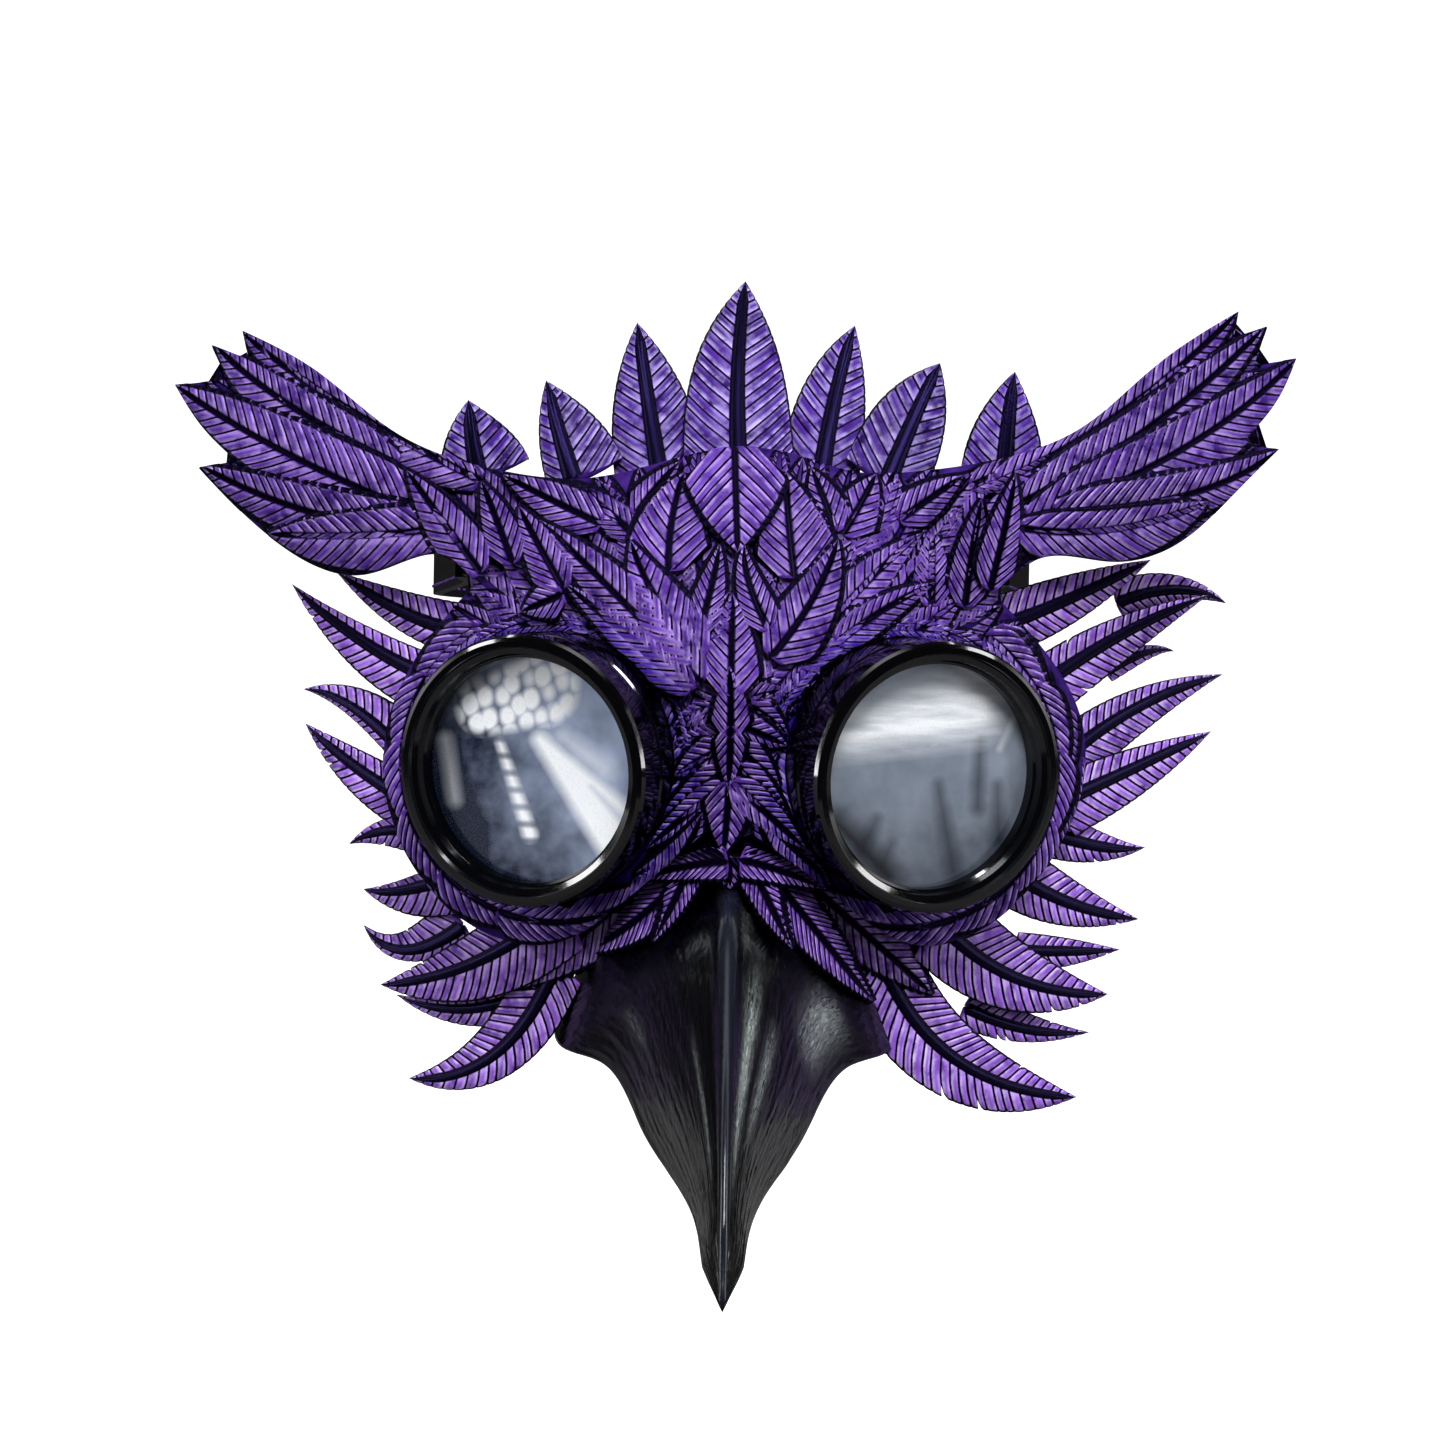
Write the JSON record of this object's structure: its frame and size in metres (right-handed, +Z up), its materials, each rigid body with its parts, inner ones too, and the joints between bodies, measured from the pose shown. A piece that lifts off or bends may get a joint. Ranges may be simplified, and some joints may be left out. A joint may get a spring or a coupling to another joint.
{
  "type": "plague doctor mask",
  "caption": "Half-face mask of carved leather with layered feathers, a hollow keeled beak, screw-in goggle eyepieces and a buckled head strap.",
  "frame": {"origin": "between the wearer's eyes, on the plane that the face rests against", "axes": "+Z up, -Y the way the wearer looks, +X to the wearer's left"},
  "size_m": [0.256, 0.3063, 0.2125],
  "materials": {
    "face_leather": "carved and antiqued, satin",
    "feather_leather": "carved and antiqued, satin",
    "crown_leather": "carved, polished",
    "beak_leather": "black, burnished",
    "goggle_plastic": "black gloss",
    "lens": "smoked mirror",
    "gasket_rubber": "matt",
    "strap_leather": "black bridle leather",
    "buckle_steel": "polished"
  },
  "bodies": {
    "mask": {"face_shell": "face_leather", "beak": "beak_leather", "cere_plume_left": "face_leather", "cere_plume_right": "face_leather", "bridge_fringe": "face_leather", "cere_tip_left": "face_leather", "cere_tip_right": "face_leather", "cere_flap_left": "face_leather", "cere_flap_right": "face_leather", "side_feather_left_01": "feather_leather", "side_feather_left_02": "feather_leather", "side_feather_left_03": "feather_leather", "side_feather_left_04": "feather_leather", "side_feather_left_05": "feather_leather", "side_feather_left_06": "feather_leather", "side_feather_left_07": "feather_leather", "side_feather_left_08": "feather_leather", "side_feather_left_09": "feather_leather", "side_feather_left_10": "feather_leather", "side_feather_right_01": "feather_leather", "side_feather_right_02": "feather_leather", "side_feather_right_03": "feather_leather", "side_feather_right_04": "feather_leather", "side_feather_right_05": "feather_leather", "side_feather_right_06": "feather_leather", "side_feather_right_07": "feather_leather", "side_feather_right_08": "feather_leather", "side_feather_right_09": "feather_leather", "side_feather_right_10": "feather_leather", "side_feather_right_11": "feather_leather", "side_feather_right_12": "feather_leather", "crown_feather_01": "crown_leather", "crown_feather_02": "crown_leather", "crown_feather_03": "crown_leather", "crown_feather_04": "crown_leather", "crown_feather_05": "crown_leather", "crown_feather_06": "crown_leather", "crown_feather_07": "crown_leather", "eye_cup_left": "goggle_plastic", "eye_cup_right": "goggle_plastic", "lens_gasket_left": "gasket_rubber", "lens_gasket_right": "gasket_rubber", "strap_tab_left": "strap_leather", "strap_tab_right": "strap_leather", "strap_screw_left": "buckle_steel", "strap_screw_right": "buckle_steel"},
    "strap": {"strap_buckle_side": "strap_leather", "strap_tongue_side": "strap_leather", "buckle_frame": "buckle_steel"},
    "prong": {"buckle_prong": "buckle_steel"},
    "keeper": {"strap_keeper": "strap_leather"},
    "lens_left": {"lens_left": "lens"},
    "ring_left": {"retaining_ring_left": "goggle_plastic"},
    "lens_right": {"lens_right": "lens"},
    "ring_right": {"retaining_ring_right": "goggle_plastic"}
  },
  "joints": [
    {"name": "lens_out_left", "type": "slide", "parent": "mask", "child": "lens_left", "axis": [-0.4045, -0.9085, -0.1045], "range_m": [0, 0.0046]},
    {"name": "ring_turn_left", "type": "hinge", "parent": "lens_left", "child": "ring_left", "pos_m": [-0.04426, -0.02301, -0.00136], "axis": [-0.4045, -0.9085, -0.1045], "range_deg": [0, 1080]},
    {"name": "lens_out_right", "type": "slide", "parent": "mask", "child": "lens_right", "axis": [0.4045, -0.9085, -0.1045], "range_m": [0, 0.0046]},
    {"name": "ring_turn_right", "type": "hinge", "parent": "lens_right", "child": "ring_right", "pos_m": [0.04426, -0.02301, -0.00136], "axis": [0.4045, -0.9085, -0.1045], "range_deg": [0, 1080]},
    {"name": "strap_swing", "type": "hinge", "parent": "mask", "child": "strap", "pos_m": [0, 0.026, 0.051], "axis": [1, 0, 0], "range_deg": [-20, 25]},
    {"name": "prong_lift", "type": "hinge", "parent": "strap", "child": "prong", "pos_m": [0.004, 0.178, 0.051], "axis": [0, 0, -1], "range_deg": [0, 20]},
    {"name": "keeper_slide", "type": "slide", "parent": "strap", "child": "keeper", "axis": [1, 0, 0], "range_m": [-0.0015, 0.006]}
  ],
  "couplings": [
    {"joint": "lens_out_left", "follows": "ring_turn_left", "m_per_rad": 0.00023873},
    {"joint": "lens_out_right", "follows": "ring_turn_right", "m_per_rad": 0.00023873}
  ]
}
